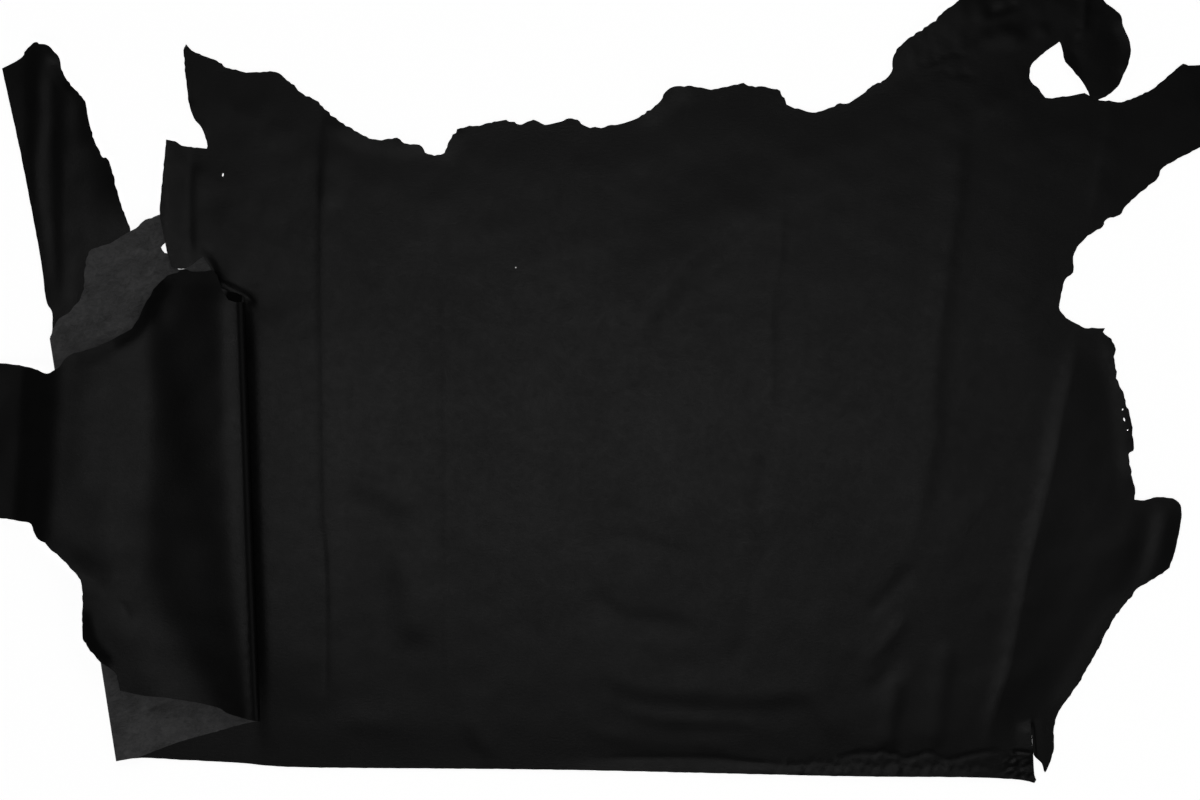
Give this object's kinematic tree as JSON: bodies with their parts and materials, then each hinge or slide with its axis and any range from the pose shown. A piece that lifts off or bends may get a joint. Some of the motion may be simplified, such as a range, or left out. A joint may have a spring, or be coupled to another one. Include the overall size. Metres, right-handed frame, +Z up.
{
  "type": "leather hide",
  "caption": "Side of black grain leather with a straight back edge and an irregular belly edge, laid flat with one end folded over and back.",
  "frame": {"origin": "centre of the outline's bounding box, on the surface the hide lies on", "axes": "+X along the back edge from the folded end towards the neck, +Y from the back edge towards the belly, +Z up"},
  "size_m": [2.0832, 1.365, 0.0376],
  "materials": {
    "leather": "satin black grain"
  },
  "bodies": {
    "root": {"hide": "leather"}
  },
  "joints": []
}
